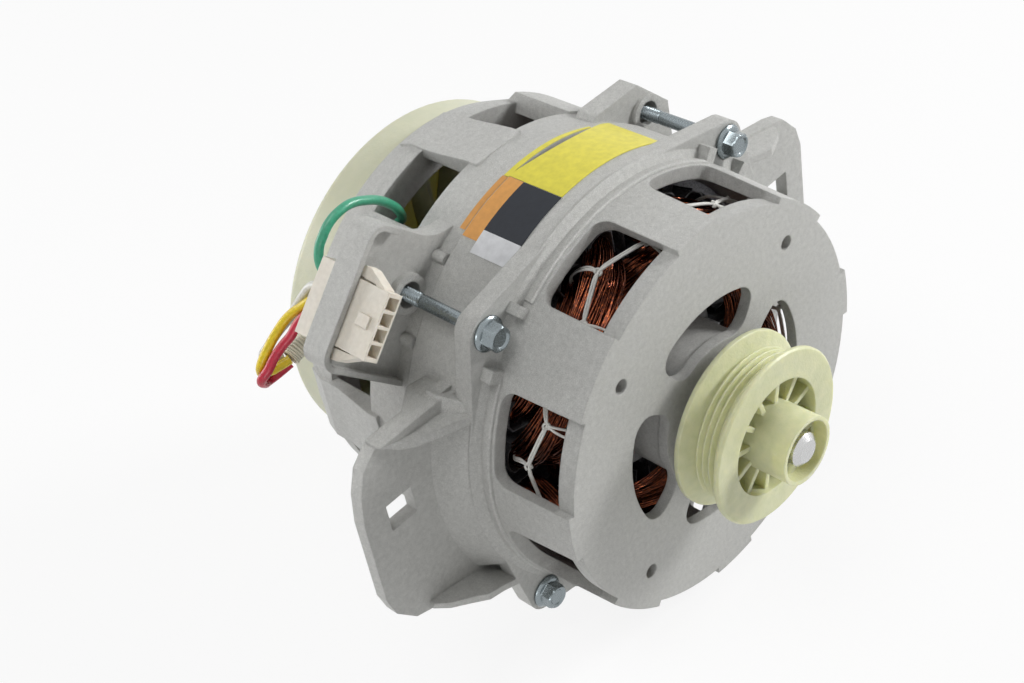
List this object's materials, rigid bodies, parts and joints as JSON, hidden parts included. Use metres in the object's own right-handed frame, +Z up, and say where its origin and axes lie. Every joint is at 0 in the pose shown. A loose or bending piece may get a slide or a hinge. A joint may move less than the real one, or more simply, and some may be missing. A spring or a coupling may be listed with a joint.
{
  "type": "washing machine motor",
  "caption": "Open-frame electric motor: wound stator between cast end shields with mounting ears, ribbed belt pulley in front, cooling fan behind, lead connector on its side.",
  "frame": {"origin": "on the shaft axis, in the plane of the front face, centre of the four face holes", "axes": "shaft along Y with the pulley toward -Y and the fan toward +Y, mounting ears along X, +Z up"},
  "size_m": [0.2264, 0.1771, 0.1677],
  "materials": {
    "cast_aluminium": "die cast, fine tumbled sparkle",
    "laminations": "stacked sheet steel, dull",
    "slot_liner": "folded film",
    "copper_wire": "enamelled copper, gloss varnish",
    "lacing": "braided polyester",
    "zinc_steel": "zinc plated, bright",
    "cream_plastic": "moulded, fine satin",
    "tinned_brass": "tinned",
    "green_insulation": "extruded, satin",
    "yellow_insulation": "extruded, satin",
    "red_insulation": "extruded, satin",
    "white_insulation": "extruded, satin",
    "woven_sleeve": "ribbed varnished sleeve",
    "yellow_label": "printed film",
    "colour_label": "printed film",
    "black_plastic": "moulded",
    "bearing_steel": "ground",
    "cage_plastic": "moulded",
    "shaft_steel": "ground",
    "cast_cage": "cast, rough",
    "nylon": "natural nylon, slightly translucent"
  },
  "bodies": {
    "stator": {"front_shield": "cast_aluminium", "rear_shield": "cast_aluminium", "stator_core": "laminations", "slot_liners": "slot_liner", "main_winding": "copper_wire", "start_winding": "copper_wire", "lacing_cord": "lacing", "through_bolts": "zinc_steel", "connector_housing": "cream_plastic", "connector_terminals": "tinned_brass", "earth_lead": "green_insulation", "yellow_lead": "yellow_insulation", "red_lead": "red_insulation", "white_lead": "white_insulation", "lead_sleeve": "woven_sleeve", "rating_label": "yellow_label", "colour_label": "colour_label", "thermal_protector": "black_plastic", "earth_screw": "zinc_steel", "earth_tag": "tinned_brass", "front_bearing_outer_ring": "bearing_steel", "rear_bearing_outer_ring": "bearing_steel", "wave_washer": "bearing_steel"},
    "rotor": {"front_bearing_inner_ring": "bearing_steel", "rear_bearing_inner_ring": "bearing_steel", "shaft": "shaft_steel", "rotor_core": "laminations", "rotor_cage": "cast_cage", "pulley": "nylon", "fan": "nylon", "fan_clip": "bearing_steel"},
    "front_ball_set": {"front_bearing_balls": "bearing_steel", "front_bearing_cage": "cage_plastic"},
    "rear_ball_set": {"rear_bearing_balls": "bearing_steel", "rear_bearing_cage": "cage_plastic"}
  },
  "joints": [
    {"name": "rotor_spin", "type": "hinge", "parent": "stator", "child": "rotor", "pos_m": [0, 0, 0], "axis": [0, 1, 0], "continuous": true},
    {"name": "front_ball_orbit", "type": "hinge", "parent": "stator", "child": "front_ball_set", "pos_m": [0, 0.012, 0], "axis": [0, 1, 0], "continuous": true},
    {"name": "rear_ball_orbit", "type": "hinge", "parent": "stator", "child": "rear_ball_set", "pos_m": [0, 0.1085, 0], "axis": [0, 1, 0], "continuous": true}
  ],
  "couplings": [
    {"joint": "front_ball_orbit", "follows": "rotor_spin", "ratio": 0.39123},
    {"joint": "rear_ball_orbit", "follows": "rotor_spin", "ratio": 0.39123}
  ]
}
